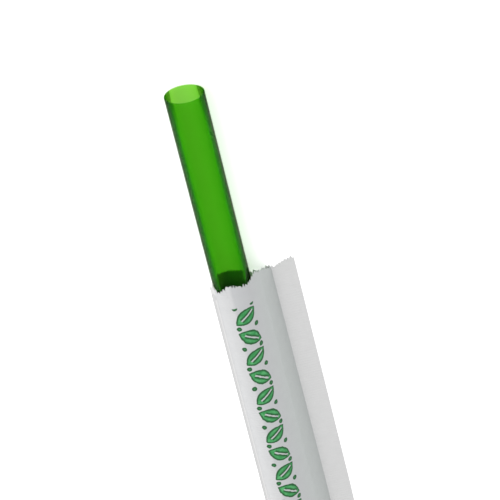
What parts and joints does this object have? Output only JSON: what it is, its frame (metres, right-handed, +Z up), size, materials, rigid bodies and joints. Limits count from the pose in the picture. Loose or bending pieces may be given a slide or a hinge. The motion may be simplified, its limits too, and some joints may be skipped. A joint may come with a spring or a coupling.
{
  "type": "wrapped drinking straw",
  "caption": "Straight translucent green drinking straw in a crimped white paper sleeve, torn open at the drinking end; the straw slides out of the sleeve.",
  "frame": {"origin": "centre of the base of the whole object's box, on the table that the sleeve lies on", "axes": "+Y along the straw towards its drinking end, +X towards the sleeve's flat seam, +Z up"},
  "size_m": [0.0178, 0.223, 0.0065],
  "materials": {
    "straw": "smooth translucent green plastic",
    "printed_paper": "thin matt white paper with green print and crimped seams",
    "plain_paper": "thin matt white paper with crimped seams"
  },
  "bodies": {
    "sleeve": {"front_ply": "printed_paper", "back_ply": "plain_paper"},
    "straw": {"straw": "straw"}
  },
  "joints": [
    {"name": "straw_slide", "type": "slide", "parent": "sleeve", "child": "straw", "axis": [0, 1, 0], "range_m": [-0.003, 0.155]}
  ]
}
